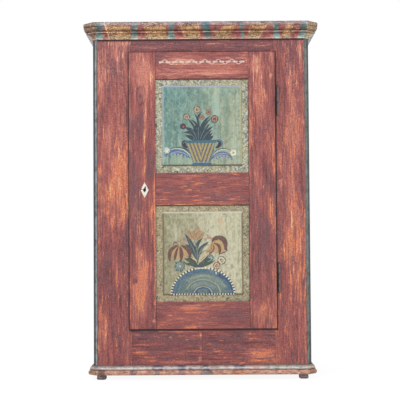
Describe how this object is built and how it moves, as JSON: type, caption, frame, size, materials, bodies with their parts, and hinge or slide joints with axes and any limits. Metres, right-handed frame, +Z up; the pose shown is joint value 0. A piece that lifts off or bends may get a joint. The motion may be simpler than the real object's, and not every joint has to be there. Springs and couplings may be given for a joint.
{
  "type": "one-door painted cupboard",
  "caption": "Tall free-standing wooden cupboard with canted front corners, moulded cornice and base, stub feet, shelves and a framed panel door on barrel hinges with a box lock.",
  "frame": {"origin": "on the floor, under the middle of the whole width and the whole depth", "axes": "+Z up, the front with the door faces -Y, +X to the right of someone who looks at the front"},
  "size_m": [1.156, 0.543, 1.75],
  "materials": {
    "red_paint": "worn red-brown milk paint",
    "green_paint": "worn grey-green paint",
    "cornice_paint": "ochre, red and blue-green painted stripes",
    "base_paint": "worn grey-lavender and tan paint",
    "teal_panel_paint": "faded teal paint with painted ornament",
    "cream_panel_paint": "faded cream paint with painted ornament",
    "bare_pine": "aged bare pine",
    "dark_foot_paint": "dark red-brown paint",
    "iron": "dark wrought iron",
    "white_plate": "off-white key hole plate"
  },
  "bodies": {
    "carcase": {"corner_post_left": "green_paint", "corner_post_right": "green_paint", "side_panel_left": "red_paint", "side_panel_right": "red_paint", "front_stile_left": "red_paint", "front_stile_right": "red_paint", "top_rail_left": "red_paint", "top_rail_right": "red_paint", "bottom_rail_left": "red_paint", "bottom_rail_right": "red_paint", "bottom_board_left": "bare_pine", "bottom_board_right": "bare_pine", "top_board_left": "bare_pine", "top_board_right": "bare_pine", "back_board_1": "bare_pine", "back_board_2": "bare_pine", "back_board_3": "bare_pine", "back_board_4": "bare_pine", "shelf_1": "bare_pine", "shelf_2": "bare_pine", "shelf_3": "bare_pine", "cleat_1_left": "bare_pine", "cleat_1_right": "bare_pine", "cleat_2_left": "bare_pine", "cleat_2_right": "bare_pine", "cleat_3_left": "bare_pine", "cleat_3_right": "bare_pine", "foot_front_left": "dark_foot_paint", "foot_front_right": "dark_foot_paint", "foot_back_left": "dark_foot_paint", "foot_back_right": "dark_foot_paint", "cornice_front_left": "cornice_paint", "cornice_corner_left": "cornice_paint", "cornice_return_left": "cornice_paint", "cornice_front_right": "cornice_paint", "cornice_corner_right": "cornice_paint", "cornice_return_right": "cornice_paint", "base_front_left": "base_paint", "base_corner_left": "base_paint", "base_return_left": "base_paint", "base_front_right": "base_paint", "base_corner_right": "base_paint", "base_return_right": "base_paint", "upper_hinge_frame_half": "iron", "lower_hinge_frame_half": "iron", "lock_keeper": "iron"},
    "door": {"door_lock_stile": "red_paint", "door_hinge_stile": "red_paint", "door_top_rail": "red_paint", "door_lock_rail": "red_paint", "door_bottom_rail": "red_paint", "door_upper_panel": "teal_panel_paint", "door_lower_panel": "cream_panel_paint", "upper_hinge_door_half": "iron", "lower_hinge_door_half": "iron", "escutcheon": "white_plate", "lock_case": "iron", "lock_spring": "iron"},
    "bolt": {"lock_bolt": "iron"}
  },
  "joints": [
    {"name": "door_hinge", "type": "hinge", "parent": "carcase", "child": "door", "pos_m": [0.3765, -0.235, 0.925], "axis": [0, 0, 1], "range_deg": [0, 165]},
    {"name": "lock_bolt_slide", "type": "slide", "parent": "door", "child": "bolt", "axis": [-1, 0, 0], "range_m": [0, 0.016]}
  ]
}
